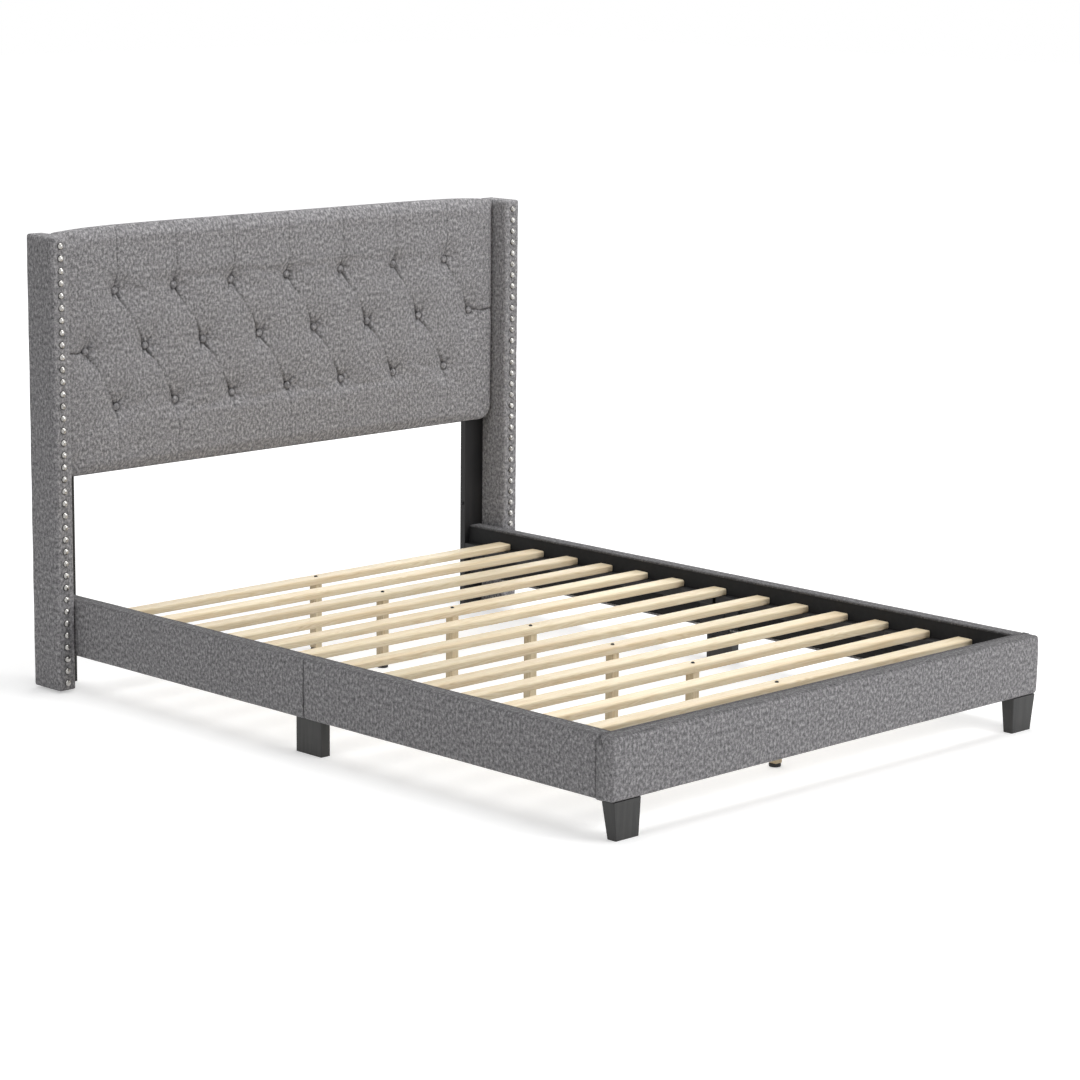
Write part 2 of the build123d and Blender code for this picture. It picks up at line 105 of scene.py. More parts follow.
for name, place, aim, size, watts in (
    ("front_lamp", (3.2, -6.5, 4.0), (0, 0, 0.6), 3.2, 215),
    ("side_lamp", (-6.0, -1.5, 3.2), (0, 0, 0.5), 3.2, 38),
    ("back_lamp", (5.2, 5.6, 3.2), (0, 0, 0.5), 3.2, 130),
    ("top_lamp", (0.5, -0.2, 6.0), (0, 0, 0), 4.0, 228),
):
    lamp = bpy.data.lights.new(name, "AREA")
    lamp.shape = "SQUARE"
    lamp.size = size
    lamp.energy = watts
    holder = bpy.data.objects.new(name, lamp)
    holder.location = place
    holder.rotation_euler = (Vector(aim) - Vector(place)).to_track_quat("-Z", "Y").to_euler()
    bpy.context.scene.collection.objects.link(holder)

yaw, pitch, roll = math.radians(44.73), math.radians(11.01), math.radians(0.56)
ahead = Vector((math.sin(yaw) * math.cos(pitch), math.cos(yaw) * math.cos(pitch), -math.sin(pitch)))
level = Vector((math.cos(yaw), -math.sin(yaw), 0))
above = level.cross(ahead)
right = math.cos(roll) * level + math.sin(roll) * above
up = math.cos(roll) * above - math.sin(roll) * level
lens = bpy.data.cameras.new("camera")
lens.sensor_width = 36
lens.lens = 111.43
camera = bpy.data.objects.new("camera", lens)
stand = Matrix.Translation((-6.275, -6.351, 2.200))
camera.matrix_world = stand @ Matrix((right, up, -ahead)).transposed().to_4x4()
bpy.context.scene.collection.objects.link(camera)
bpy.context.scene.camera = camera
bpy.context.scene.view_settings.view_transform = "Standard"


# Two posts, boards painted satin black, stand on the floor behind the wings and carry the headboard.
# Paint over wood: a near-black coat that follows the grain a little and is rubbed paler in places.
def finish(name, roughness, specular=0.5, metallic=0.0, sheen=0.0):
    made = bpy.data.materials.new(name)
    made.use_nodes = True
    tree = made.node_tree
    tree.nodes.clear()
    surface = node(tree, "ShaderNodeBsdfPrincipled", {
        "Roughness": roughness, "Specular IOR Level": specular, "Metallic": metallic, "Sheen Weight": sheen,
        "Sheen Roughness": 0.6,
    })
    node(tree, "ShaderNodeOutputMaterial", {"Surface": surface.outputs[0]})
    return made, tree, surface


def object_place(tree):
    return node(tree, "ShaderNodeTexCoord").outputs["Object"]


def noise(tree, coordinates, scale, detail=2.0, roughness=0.5, stretch=(1, 1, 1), distortion=0.0):
    placed = node(tree, "ShaderNodeMapping", {"Vector": coordinates, "Scale": stretch})
    return node(tree, "ShaderNodeTexNoise", {
        "Vector": placed.outputs[0], "Scale": scale, "Detail": detail, "Roughness": roughness,
        "Distortion": distortion,
    }).outputs["Fac"]


def remap(tree, value, low, high, from_low=0.0, from_high=1.0):
    ends = {"From Min": from_low, "From Max": from_high, "To Min": low, "To Max": high}
    return node(tree, "ShaderNodeMapRange", {"Value": value, **ends}).outputs[0]


def ramp(tree, value, *stops):
    made = node(tree, "ShaderNodeValToRGB", {"Fac": value})
    while len(made.color_ramp.elements) < len(stops):
        made.color_ramp.elements.new(0.5)
    for element, (place, colour) in zip(made.color_ramp.elements, stops):
        element.position = place
        element.color = (*colour, 1)
    return made.outputs["Color"]


def colour_by(tree, surface, value, *stops):
    tree.links.new(ramp(tree, value, *stops), surface.inputs["Base Color"])


def bump(tree, surface, height, distance, strength=1.0):
    made = node(tree, "ShaderNodeBump", {"Height": height, "Distance": distance, "Strength": strength})
    tree.links.new(made.outputs[0], surface.inputs["Normal"])


def black_paint(name, stretch, dark, pale, roughness):
    made, tree, surface = finish(name, roughness, specular=0.4)
    place = object_place(tree)
    grain = noise(tree, place, 60, detail=4, roughness=0.6, stretch=stretch)
    rub = noise(tree, place, 9, detail=3)
    colour_by(tree, surface, reckon(tree, "MULTIPLY", grain, rub), (0.12, dark), (0.42, pale))
    tree.links.new(remap(tree, rub, roughness - 0.1, roughness + 0.15), surface.inputs["Roughness"])
    bump(tree, surface, grain, 0.0004)
    return made


def dress(names, material):
    """Gives CAD pieces that are shown as they are their material."""
    for name in names:
        mesh = nodes[name].data
        mesh.materials.clear()
        mesh.materials.append(material)


post_paint = black_paint("post_paint", (1, 1, 0.06), (0.005, 0.005, 0.006), (0.014, 0.013, 0.013), 0.5)
dress(["left_post", "right_post"], post_paint)


# The backboard is a plywood sheet lined in black, fixed to the front of the posts.
# Its lower edge shows as a thin black line under the pad.
board_lining = black_paint("board_lining", (1, 1, 1), (0.003, 0.003, 0.0035), (0.010, 0.010, 0.0105), 0.8)
dress(["headboard_backboard"], board_lining)


# The tufted pad: foam under grey linen-look cloth, pulled down by three rows of buttons.
# The cloth is filled by simulation, held at the buttons and edges, and its pleats are laid in after.
def cloth_map(piece, front=1.0):
    """Lays the cloth flat on each side of a piece, in metres, so that its yarns run up and across."""
    mesh = piece.data
    layer = mesh.uv_layers.new(name="cloth")
    of_loop = np.zeros(len(mesh.loops), int)
    mesh.loops.foreach_get("vertex_index", of_loop)
    normals = np.zeros(len(mesh.polygons) * 3)
    mesh.polygons.foreach_get("normal", normals)
    normals = np.abs(normals.reshape(-1, 3)) * (1, front, 1)
    sizes = np.zeros(len(mesh.polygons), int)
    mesh.polygons.foreach_get("loop_total", sizes)
    side = np.repeat(normals.argmax(1), sizes)[:, None]
    at = points(piece)[of_loop]
    flat = np.where(side == 0, at[:, [1, 2]], np.where(side == 1, at[:, [0, 2]], at[:, [0, 1]]))
    layer.data.foreach_set("uv", flat.ravel())


def blend(tree, share, first, second):
    return node(tree, "ShaderNodeMix", {0: share, 2: first, 3: second}, data_type="FLOAT").outputs[0]


def scaled(tree, vector, share):
    return node(tree, "ShaderNodeVectorMath", {0: vector, "Scale": share}, operation="SCALE").outputs[0]


def linen(name, tone):
    """Cloth of crossed yarns, each dark, middling or pale along its length, with shade painted between the
    yarns and wherever a piece marks it.
    """
    made, tree, surface = finish(name, 0.93, specular=0.15, sheen=0.12)
    lie = node(tree, "ShaderNodeUVMap", uv_map="cloth").outputs[0]
    yarn = 0.0013
    drift = reckon(tree, "MULTIPLY", noise(tree, lie, 90, detail=2), 0.0012)
    split = node(tree, "ShaderNodeSeparateXYZ", {0: lie}).outputs
    waves = []
    for axis in (0, 1):
        along = reckon(tree, "ADD", split[axis], drift)
        waves.append(reckon(tree, "SINE", reckon(tree, "MULTIPLY", along, math.pi / yarn)))
    over = reckon(tree, "GREATER_THAN", reckon(tree, "MULTIPLY", *waves), 0.0)
    rounds = [reckon(tree, "ABSOLUTE", wave) for wave in waves]
    weave = blend(tree, over, *rounds)
    warp = noise(tree, lie, 1, detail=3, roughness=0.7, stretch=(420, 45, 1))
    weft = noise(tree, lie, 1, detail=3, roughness=0.7, stretch=(60, 420, 1))
    yarns = blend(tree, over, warp, weft)
    fleck = noise(tree, lie, 1, detail=2, roughness=0.65, stretch=(140, 100, 1))
    dark = tuple(tone * share for share in (0.36, 0.36, 0.375))
    middling = tuple(tone * share for share in (0.95, 0.925, 0.955))
    pale = tuple(tone * share for share in (2.1, 2.05, 2.09))
    colour = ramp(tree, blend(tree, 0.66, yarns, fleck), (0.34, dark), (0.5, middling), (0.67, pale))
    # Shade is painted in here: the yarns are lighter at their crowns and darker in the dips between them, and
    # darker where a piece marks it.
    fold = node(tree, "ShaderNodeAttribute", attribute_name="fold").outputs["Fac"]
    shade = reckon(tree, "MULTIPLY", remap(tree, weave, 0.72, 1.12), remap(tree, fold, 1.0, 0.25))
    tree.links.new(scaled(tree, colour, shade), surface.inputs["Base Color"])
    bump(tree, surface, reckon(tree, "ADD", weave, yarns), 0.0005, 0.8)
    return made


def mend(mesh, weld=0.0, cap=False, crease=0.0):
    """Welds or caps a mesh where asked, turns its faces outward, and sharpens edges that turn past crease."""
    shape = bmesh.new()
    shape.from_mesh(mesh)
    if weld:
        bmesh.ops.remove_doubles(shape, verts=shape.verts, dist=weld)
    if cap:
        bmesh.ops.holes_fill(shape, edges=[edge for edge in shape.edges if edge.is_boundary], sides=0)
    bmesh.ops.recalc_face_normals(shape, faces=shape.faces)
    if weld and shape.calc_volume(signed=True) < 0:
        bmesh.ops.reverse_faces(shape, faces=shape.faces)
    for edge in shape.edges if crease else []:
        edge.smooth = len(edge.link_faces) == 2 and edge.calc_face_angle(0) < crease
    shape.to_mesh(mesh)
    shape.free()


def piece_from(name, verts, faces, material, smooth=True):
    mesh = bpy.data.meshes.new(name)
    mesh.from_pydata([tuple(v) for v in verts], [], faces)
    mend(mesh)
    mesh.materials.append(material)
    mesh.polygons.foreach_set("use_smooth", [smooth] * len(mesh.polygons))
    piece = bpy.data.objects.new(name, mesh)
    bpy.context.scene.collection.objects.link(piece)
    return piece


def net(rows, columns, around=False):
    """Faces between rows of points that are numbered row by row. With around, each row is a ring."""
    faces = []
    for near in range(0, (rows - 1) * columns, columns):
        far = near + columns
        for c in range(columns if around else columns - 1):
            after = (c + 1) % columns
            faces.append((near + c, near + after, far + after, far + c))
    return faces


def baked(piece):
    """Leaves a piece as plain mesh, with what its modifiers made of it."""
    made = bpy.data.meshes.new_from_object(piece.evaluated_get(bpy.context.evaluated_depsgraph_get()))
    piece.modifiers.clear()
    old, piece.data = piece.data, made
    bpy.data.meshes.remove(old)
    made.name = piece.name
    return piece


def points(piece):
    at = np.zeros(len(piece.data.vertices) * 3)
    piece.data.vertices.foreach_get("co", at)
    return at.reshape(-1, 3)


def paint_cloth_shade(piece, values):
    """Marks where shade is painted into the cloth's colour, from 0 on open cloth to 1 where it is darkest."""
    piece.data.attributes.new("fold", "FLOAT", "POINT").data.foreach_set("value", values)


def fill_with_foam(piece, held, pressure, cap, frames=20):
    """Blows the cover out from inside while its held places stay, then keeps every point within cap."""
    sewn = points(piece)
    group = piece.vertex_groups.new(name="held")
    group.add([int(i) for i in held], 1.0, "REPLACE")
    filling = piece.modifiers.new("filling", "CLOTH")
    cloth = filling.settings
    cloth.quality = 6
    cloth.use_pressure = True
    cloth.uniform_pressure_force = pressure
    cloth.vertex_group_mass = "held"
    cloth.effector_weights.gravity = 0
    cloth.bending_stiffness = 0.4
    scene = bpy.context.scene
    for number in range(1, frames + 1):
        scene.frame_set(number)
    swollen = points(piece.evaluated_get(bpy.context.evaluated_depsgraph_get()))
    piece.modifiers.remove(filling)
    scene.frame_set(1)
    move = swollen - sewn
    reach = np.linalg.norm(move, axis=1, keepdims=True)
    move *= np.minimum(1, cap / np.maximum(reach, 1e-9))
    piece.data.vertices.foreach_set("co", (sewn + move).ravel())
    piece.vertex_groups.clear()


grey_linen = linen("grey_linen", 0.31)
pad_low, pad_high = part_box("headboard_pad")
board_low, board_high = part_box("headboard_backboard")
pad_half, pad_front = pad_high.x, pad_low.y
crown = 0.011
roll_over = 0.016
low_corner, top_corner = 0.052, 0.014
tuft_deep = 0.015
button_pitch, button_rows = 0.208, (1.0985, 0.9355, 0.7725)
buttons = []
for height, count in zip(button_rows, (7, 8, 7)):
    buttons += [((i - (count - 1) / 2) * button_pitch, height) for i in range(count)]


def spread(low, high, step, ends):
    """Stations from low to high, close together over the first and last of the way."""
    near = [low + e for e in ends]
    far = [high - e for e in reversed(ends)]
    middle = np.linspace(near[-1], far[0], max(2, int(round((far[0] - near[-1]) / step)) + 1))[1:-1]
    return np.array(near + list(middle) + far)


def top_line(x):
    """The pad's top runs nearly straight and falls away over its last stretch at each end."""
    return pad_high.z - crown * np.abs(x / pad_half) ** 7


# The front is a net of points, closer at the edges, and drawn in at its ends to round the corners.
edge_steps = (0.0, 0.002, 0.005, 0.009, 0.0145, 0.021, 0.029, 0.037, 0.045, 0.053)
across = spread(-pad_half, pad_half, 0.0085, edge_steps)
upward = spread(0.0, 1.0, 0.0128, [e / 0.68 for e in edge_steps])
grid_x, grid_t = np.meshgrid(across, upward)
tops = top_line(grid_x)
grid_z = pad_low.z + grid_t * (tops - pad_low.z)
half = np.full_like(grid_x, pad_half)
for gap, corner in ((grid_z - pad_low.z, low_corner), (tops - grid_z, top_corner)):
    inside = np.clip(corner - gap, 0, corner)
    half -= corner - np.sqrt(corner ** 2 - inside ** 2)
straight = 0.7
drawn_in = straight + (np.abs(grid_x) - straight) * (half - straight) / (pad_half - straight)
grid_x = np.where(np.abs(grid_x) > straight, np.sign(grid_x) * drawn_in, grid_x)


def edge_distance(x, z):
    """How far a place on the front is inside the pad's outline, with its rounded corners."""
    top = top_line(x)
    side = pad_half - np.abs(x)
    best = np.minimum(side, np.minimum(z - pad_low.z, top - z))
    for gap, corner in ((z - pad_low.z, low_corner), (top - z, top_corner)):
        round_off = corner - np.hypot(np.clip(corner - side, 0, None), np.clip(corner - gap, 0, None))
        near = (side < corner) & (gap < corner)
        best = np.where(near, np.minimum(best, round_off), best)
    return np.clip(best, 0, None)


def tufts(x, z):
    """How deep the buttons pull the cloth in at each place, and how far off the nearest button is."""
    near = np.full(x.shape, 9.0)
    for bx, bz in buttons:
        near = np.minimum(near, np.hypot(x - bx, z - bz))
    beyond = np.clip(near - 0.009, 0, None)
    return tuft_deep / (1 + (beyond / 0.017) ** 1.7), near


inset = edge_distance(grid_x, grid_z)
rounding = roll_over - np.sqrt(np.clip(roll_over ** 2 - np.clip(roll_over - inset, 0, None) ** 2, 0, None))
dent, near_button = tufts(grid_x, grid_z)
grid_y = pad_front + rounding + np.maximum(dent, 0.0025) * np.clip(inset / 0.05, 0, 1)
rows, columns = grid_x.shape
verts = list(np.stack([grid_x, grid_y, grid_z], -1).reshape(-1, 3))
faces = net(rows, columns)
rim = [c for c in range(columns)] + [r * columns + columns - 1 for r in range(1, rows)]
rim += [(rows - 1) * columns + c for c in range(columns - 2, -1, -1)]
rim += [r * columns for r in range(rows - 2, 0, -1)]

# The cloth turns back at the edge, over the top of the board or in against its front, and tucks under.
clear = 0.0004
last = rim
for back, tuck in ((pad_front + 0.021, 0), (pad_front + 0.026, 0), (None, 0), (None, 0.006),
                   (board_low.y - clear, 0.009)):
    ring = []
    for i in rim:
        x, front, z = verts[i]
        over_top = z > board_high.z - 0.004
        if tuck and over_top:
            z = board_high.z + 0.0006
        elif tuck and z < 0.9:
            z += tuck
        if abs(x) > 0.75:
            x -= tuck * np.sign(x)
        ring.append(len(verts))
        verts.append((x, back or (board_high.y if over_top else board_low.y) - clear, z))
    faces += [(last[k], last[k - 1], ring[k - 1], ring[k]) for k in range(len(rim))]
    last = ring
pad = piece_from("tufted_pad", verts, faces, grey_linen)
held = [i for i, near in enumerate(near_button.ravel()) if near < 0.0105]
held += rim + list(range(rows * columns, len(verts)))
fill_with_foam(pad, held, pressure=2.5, cap=0.0055)
smoothing = pad.modifiers.new("finer", "SUBSURF")
smoothing.levels = smoothing.render_levels = 1
baked(pad)
mend(pad.data, cap=True)

# Pleats run on the diagonals, up from the top row, down from the bottom row and out to the sides.
# Those that run down to the right are cut deeper and carry darker painted shade, so they stand out more.
top_row, middle_row, bottom_row = buttons[:7], buttons[7:15], buttons[15:]
strong_pleat, faint_pleat = (0.08, 0.046, 1.35), (0.03, 0.028, 0.95)
pleats = []
for i in range(7):
    pleats += [(top_row[i], middle_row[i], *faint_pleat), (top_row[i], middle_row[i + 1], *strong_pleat)]
    pleats += [(middle_row[i], bottom_row[i], *strong_pleat)]
    pleats += [(middle_row[i + 1], bottom_row[i], *faint_pleat)]
    pleats += [(top_row[i], (top_row[i][0], pad_high.z), 0.5, 0.035, 0.85)]
    pleats += [(bottom_row[i], (bottom_row[i][0], pad_low.z), 0.34, 0.03, 0.7)]
pleats += [(middle_row[0], (-pad_half, button_rows[1]), 0.75, 0.05, 1.1)]
pleats += [(middle_row[-1], (pad_half, button_rows[1]), 0.75, 0.05, 1.1)]
pleat_cut, pleat_dip, pleat_ridge = 0.0048, 0.0026, 0.0024
gather_deep, lump_high, notch_deep = 0.0011, 0.0007, 0.0026


def bell(distance, width):
    """1 at no distance, falling smoothly to nothing over a few widths."""
    return np.exp(-(distance / width) ** 2)


def pleat_relief(x, z):
    """How deep the pleats cut into the foam at each place, and the shade painted in them and round each
    button.
    """
    carve, fold = np.zeros(len(x)), np.zeros(len(x))
    for number, (start, end, faint, reach, press) in enumerate(pleats):
        run = np.array(end) - np.array(start)
        length = np.hypot(*run)
        run /= length
        rel_x, rel_z = x - start[0], z - start[1]
        t = rel_x * run[0] + rel_z * run[1]
        wander = 0.0020 * np.sin(t * 47 + number * 2.1) + 0.0010 * np.sin(t * 120 + number)
        w = rel_x * run[1] - rel_z * run[0] + wander * np.clip(t / 0.02, 0, 1)
        from_end = np.clip(np.minimum(t, length - t if end in middle_row + bottom_row else 9.0), 0, None)
        inside = np.clip(t / 0.006, 0, 1) * np.clip((length - t) / 0.006, 0, 1)
        strong = press * inside * (faint + (1 - faint) * np.exp(-(from_end / reach) ** 1.5))
        carve += strong * (pleat_cut * bell(w, 0.0032) + pleat_dip * bell(w, 0.012))
        carve -= strong * pleat_ridge * bell(w + 0.0075, 0.0045)
        # Shade painted along the bottom of each pleat.
        fold = np.maximum(fold, 0.85 * strong * bell(w, 0.0022))
    for number, (bx, bz) in enumerate(buttons):
        far = np.hypot(x - bx, z - bz)
        around = np.arctan2(z - bz, x - bx)
        carve += gather_deep * np.cos(7 * around + number * 1.7) * bell(far - 0.022, 0.014)
        # Shade painted in a ring round each button, where the cloth dips.
        fold = np.maximum(fold, 0.9 * bell(far - 0.0115, 0.0028))
    return carve, np.clip(fold, 0, 1)


at = points(pad)
marked = (pleat_relief(at[:, 0], at[:, 2])[1] > 0.05) & (at[:, 1] < board_low.y - 0.004)
finer = bmesh.new()
finer.from_mesh(pad.data)
creased = [f for f in finer.faces if len(f.verts) == 4 and any(marked[v.index] for v in f.verts)]
creased_edges = list({e for f in creased for e in f.edges})
bmesh.ops.subdivide_edges(finer, edges=creased_edges, cuts=1, use_grid_fill=True)
finer.to_mesh(pad.data)
finer.free()
pad.data.polygons.foreach_set("use_smooth", [True] * len(pad.data.polygons))
at = points(pad)
x, z = at[:, 0].copy(), at[:, 2].copy()
on_front = np.clip((board_low.y - 0.012 - at[:, 1]) / 0.008, 0, 1)
carve, fold = pleat_relief(x, z)
lumps = np.sin(31 * x + 3 * np.sin(17 * z)) * np.sin(27 * z + 2 * np.sin(13 * x))
deepest = np.maximum(at[:, 1], board_low.y - 0.002)
at[:, 1] = np.minimum(at[:, 1] + on_front * (carve + lump_high * lumps), deepest)
for bx, bz in top_row:
    near_top = np.clip(1 - (top_line(x) - z) / 0.03, 0, 1)
    at[:, 2] -= notch_deep * bell(x - bx, 0.007) * near_top * (at[:, 1] < board_low.y)
pad.data.vertices.foreach_set("co", at.ravel())
# Shade is painted along the pad's bottom edge, where the cloth rolls under.
under = np.clip(1 - (z - pad_low.z) / 0.005, 0, 1)
paint_cloth_shade(pad, np.maximum(fold * on_front, 0.85 * under))
cloth_map(pad, front=2.0)
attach(pad, "bed")
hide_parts("headboard_pad")


# Buttons: 22 low domes covered in the same cloth, each pulled down to the bottom of its tuft.
# The pad's cloth gathers round them.
def tree_for(name, sockets):
    tree = bpy.data.node_groups.new(name, "GeometryNodeTree")
    for label, kind in sockets:
        tree.interface.new_socket(label, in_out="INPUT", socket_type="NodeSocket" + kind)
    tree.interface.new_socket("Geometry", in_out="OUTPUT", socket_type="NodeSocketGeometry")
    return tree, node(tree, "NodeGroupInput").outputs, node(tree, "NodeGroupOutput")


def grow(name, tree, values, body, start=None):
    """Runs a tree on a fresh object and leaves its result as plain mesh on that body."""
    piece = bpy.data.objects.new(name, start or bpy.data.meshes.new(name))
    bpy.context.scene.collection.objects.link(piece)
    run = piece.modifiers.new("make", "NODES")
    run.node_group = tree
    for socket in tree.interface.items_tree:
        if socket.in_out == "INPUT" and socket.name in values:
            run[socket.identifier] = values[socket.name]
    baked(piece)
    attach(piece, body)
    return piece


def spots(name, places):
    """A mesh of loose points, for a tree to set something on."""
    mesh = bpy.data.meshes.new(name)
    mesh.from_pydata(places, [], [])
    return mesh


def dome(tree, diameter, height, segments, rings):
    """A low dome on the XY plane: a ball cut to its upper half, flattened to its height."""
    ball = node(tree, "GeometryNodeMeshUVSphere", {"Segments": segments, "Rings": rings, "Radius": 0.5})
    size = node(tree, "ShaderNodeCombineXYZ", {0: diameter, 1: diameter, 2: height})
    double = node(tree, "ShaderNodeVectorMath", {0: size.outputs[0], 1: (1, 1, 2)}, operation="MULTIPLY")
    flat = node(tree, "GeometryNodeTransform", {"Geometry": ball.outputs[0], "Scale": double.outputs[0]})
    place = node(tree, "GeometryNodeInputPosition").outputs[0]
    split = node(tree, "ShaderNodeSeparateXYZ", {0: place}).outputs
    lifted = reckon(tree, "MAXIMUM", split[2], 0.0)
    upper = node(tree, "ShaderNodeCombineXYZ", {0: split[0], 1: split[1], 2: lifted})
    cut = node(tree, "GeometryNodeSetPosition", {"Geometry": flat.outputs[0], "Position": upper.outputs[0]})
    return cut.outputs[0]


def set_on(tree, given, instance, turned=(0, 0, 0)):
    """Sets a copy of the instance on each point of the mesh that the tree is given."""
    dots = node(tree, "GeometryNodeMeshToPoints", {"Mesh": given["Geometry"]})
    return node(tree, "GeometryNodeInstanceOnPoints", {
        "Points": dots.outputs[0], "Instance": instance, "Rotation": turned}).outputs[0]


def finish_tree(tree, instances, material, out, smooth=True):
    real = node(tree, "GeometryNodeRealizeInstances", {0: instances})
    shaded = node(tree, "GeometryNodeSetShadeSmooth", {0: real.outputs[0], "Shade Smooth": smooth})
    painted = node(tree, "GeometryNodeSetMaterial", {"Geometry": shaded.outputs[0], "Material": material})
    tree.links.new(painted.outputs[0], out.inputs[0])


tree, given, out = tree_for("covered_button", [
    ("Geometry", "Geometry"), ("Diameter", "Float"), ("Height", "Float")])
button = dome(tree, given["Diameter"], given["Height"], 20, 10)
finish_tree(tree, set_on(tree, given, button, (math.pi / 2, 0, 0)), grey_linen, out)
seats = spots("covered_buttons", [(bx, pad_front + tuft_deep - clear, bz) for bx, bz in buttons])
covered = grow("covered_buttons", tree, {"Diameter": 0.0205, "Height": 0.0065}, "bed", seats)
cloth_map(covered, front=3.0)
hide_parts("headboard_buttons")


# Dust cover: black non-woven cloth pulled flat over the back and stapled round its edge.
# It lies on the backboard between the posts.
dust_cloth, tree, surface = finish("dust_cloth", 0.95, specular=0.1)
place = object_place(tree)
fibres = noise(tree, place, 900, detail=3, roughness=0.7)
cloud = noise(tree, place, 14, detail=3)
matted = reckon(tree, "MULTIPLY", fibres, cloud)
colour_by(tree, surface, matted, (0.1, (0.006, 0.006, 0.006)), (0.5, (0.03, 0.03, 0.031)))
bump(tree, surface, fibres, 0.0003)
low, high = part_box("headboard_dust_cover")
across, upward = 110, 48
verts = []
for r in range(upward + 1):
    for c in range(across + 1):
        u, v = c / across, r / upward
        sag = math.sin(math.pi * u) * math.sin(math.pi * v)
        ripple = 0.00035 * sag * (1 + math.sin(u * 46 + 3 * math.sin(v * 9)) * math.cos(v * 11))
        verts.append((low.x + u * (high.x - low.x), low.y + 0.0006 + ripple, low.z + v * (high.z - low.z)))
facing_back = [(a, d, c, b) for a, b, c, d in net(upward + 1, across + 1)]
dust_cover = piece_from("dust_cover", verts, facing_back, dust_cloth)
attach(dust_cover, "bed")
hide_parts("headboard_dust_cover")

staple_steel, tree, surface = finish("staple_steel", 0.35, metallic=1.0)
dull = noise(tree, object_place(tree), 300)
colour_by(tree, surface, dull, (0.3, (0.35, 0.35, 0.36)), (0.7, (0.6, 0.6, 0.6)))
tree, given, out = tree_for("staple_row", [("Geometry", "Geometry"), ("Crown", "Float"), ("Wire", "Float")])
size = node(tree, "ShaderNodeCombineXYZ", {0: given["Crown"], 1: given["Wire"], 2: given["Wire"]})
wire = node(tree, "GeometryNodeMeshCube", {"Size": size.outputs[0]})
skew = node(tree, "FunctionNodeRandomValue", {"Min": (0, -0.35, 0), "Max": (0, 0.35, 0), "Seed": 3},
            data_type="FLOAT_VECTOR")
set_in = set_on(tree, given, wire.outputs[0], skew.outputs[0])
finish_tree(tree, set_in, staple_steel, out, smooth=False)
hem, gap = 0.009, 0.075
run_x = np.linspace(low.x + hem, high.x - hem, int((high.x - low.x) / gap))
run_z = np.linspace(low.z + hem, high.z - hem, int((high.z - low.z) / gap))
driven_at = [(a, b) for a in run_x for b in (low.z + hem, high.z - hem)]
driven_at += [(a, b) for b in run_z[1:-1] for a in (low.x + hem, high.x - hem)]
dotted = spots("dust_cover_staples", [(a, low.y + 0.0009, b) for a, b in driven_at])
staples = grow("dust_cover_staples", tree, {"Crown": 0.0105, "Wire": 0.0009}, "bed", dotted)


# Wings: tall boards wrapped in foam and cloth, bolted to the posts' outer edges at the pad's two ends.
# The cloth is pulled tight round the corners, and each nailhead draws it in a little.
def skin(name, loops, material):
    """A closed skin over a row of loops, with a flat end on the first and on the last."""
    count = len(loops[0])
    verts = [p for loop in loops for p in loop]
    faces = net(len(loops), count, around=True)
    faces += [tuple(range(count)), tuple(range((len(loops) - 1) * count, len(loops) * count))]
    return piece_from(name, verts, faces, material)


def rounded(corners, step, turns=6):
    """A closed outline through corners given as (a, b, radius). Straight runs are cut to about step."""
    shape = []
    total = len(corners)
    for k in range(total):
        before, here, after = (np.array(corners[(k + d) % total][:2], float) for d in (-1, 0, 1))
        radius = corners[k][2]
        back = (before - here) / np.linalg.norm(before - here)
        on = (after - here) / np.linalg.norm(after - here)
        if radius == 0:
            shape.append(here)
            continue
        centre = here + (back + on) * radius
        for s in range(turns + 1):
            a = math.pi / 2 * s / turns
            shape.append(centre - on * radius * math.cos(a) - back * radius * math.sin(a))
    outline = []
    for k, here in enumerate(shape):
        after = shape[(k + 1) % len(shape)]
        cuts = max(1, int(round(np.linalg.norm(after - here) / step)))
        outline += [here + (after - here) * s / cuts for s in range(cuts)]
    return np.array(outline)


def clamp(value, low, high):
    return min(max(value, low), high)


def drawn(radius, end):
    """How far a rounded edge has drawn in at a distance from its end."""
    return radius - math.sqrt(max(0, radius ** 2 - max(0, radius - end) ** 2))


wing_low, wing_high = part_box("right_wing")
wing_soft, wing_crown = 0.012, 0.0014
nail_count, nail_pitch = 37, 0.0337
nail_x = (wing_low.x + wing_high.x) / 2
nail_heights = [wing_high.z - 0.027 - i * nail_pitch for i in range(nail_count)]
section = rounded([
    (wing_low.x, wing_low.y, 0.010), (wing_high.x, wing_low.y, 0.012),
    (wing_high.x, wing_high.y, 0.007), (wing_low.x, wing_high.y, 0.003)], 0.008)
for side, sign in (("right", 1), ("left", -1)):
    loops = []
    for height in spread(wing_low.z, wing_high.z, 0.0085, (0.0, 0.0006, 0.002, 0.0045, 0.008, 0.012)):
        draw = drawn(wing_soft, min(height - wing_low.z, wing_high.z - height))
        near = min(abs(height - nail) for nail in nail_heights)
        loop = []
        for a, b in section:
            x, y = a, b
            if draw > 0:
                x = clamp(a, wing_low.x + draw * 0.8, wing_high.x - draw)
                y = clamp(b, wing_low.y + draw, wing_high.y - draw * 0.6)
            if a > wing_high.x - 0.004:
                full = math.sin(math.pi * clamp((b - wing_low.y) / (wing_high.y - wing_low.y), 0, 1))
                x += wing_crown * full - 0.0012 + 0.0004 * math.sin(height * 37 + b * 60)
            if b < wing_low.y + 0.004:
                y += 0.0016 * bell(near, 0.012) * bell(a - nail_x, 0.014)
                y += 0.0004 * math.sin(height * 61 + a * 90)
            loop.append((sign * x, y, height))
        loops.append(loop)
    wing = skin(f"{side}_wing_cover", loops, grey_linen)
    mend(wing.data, weld=0.000002)
    cloth_map(wing)
    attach(wing, "bed")
    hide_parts(f"{side}_wing")
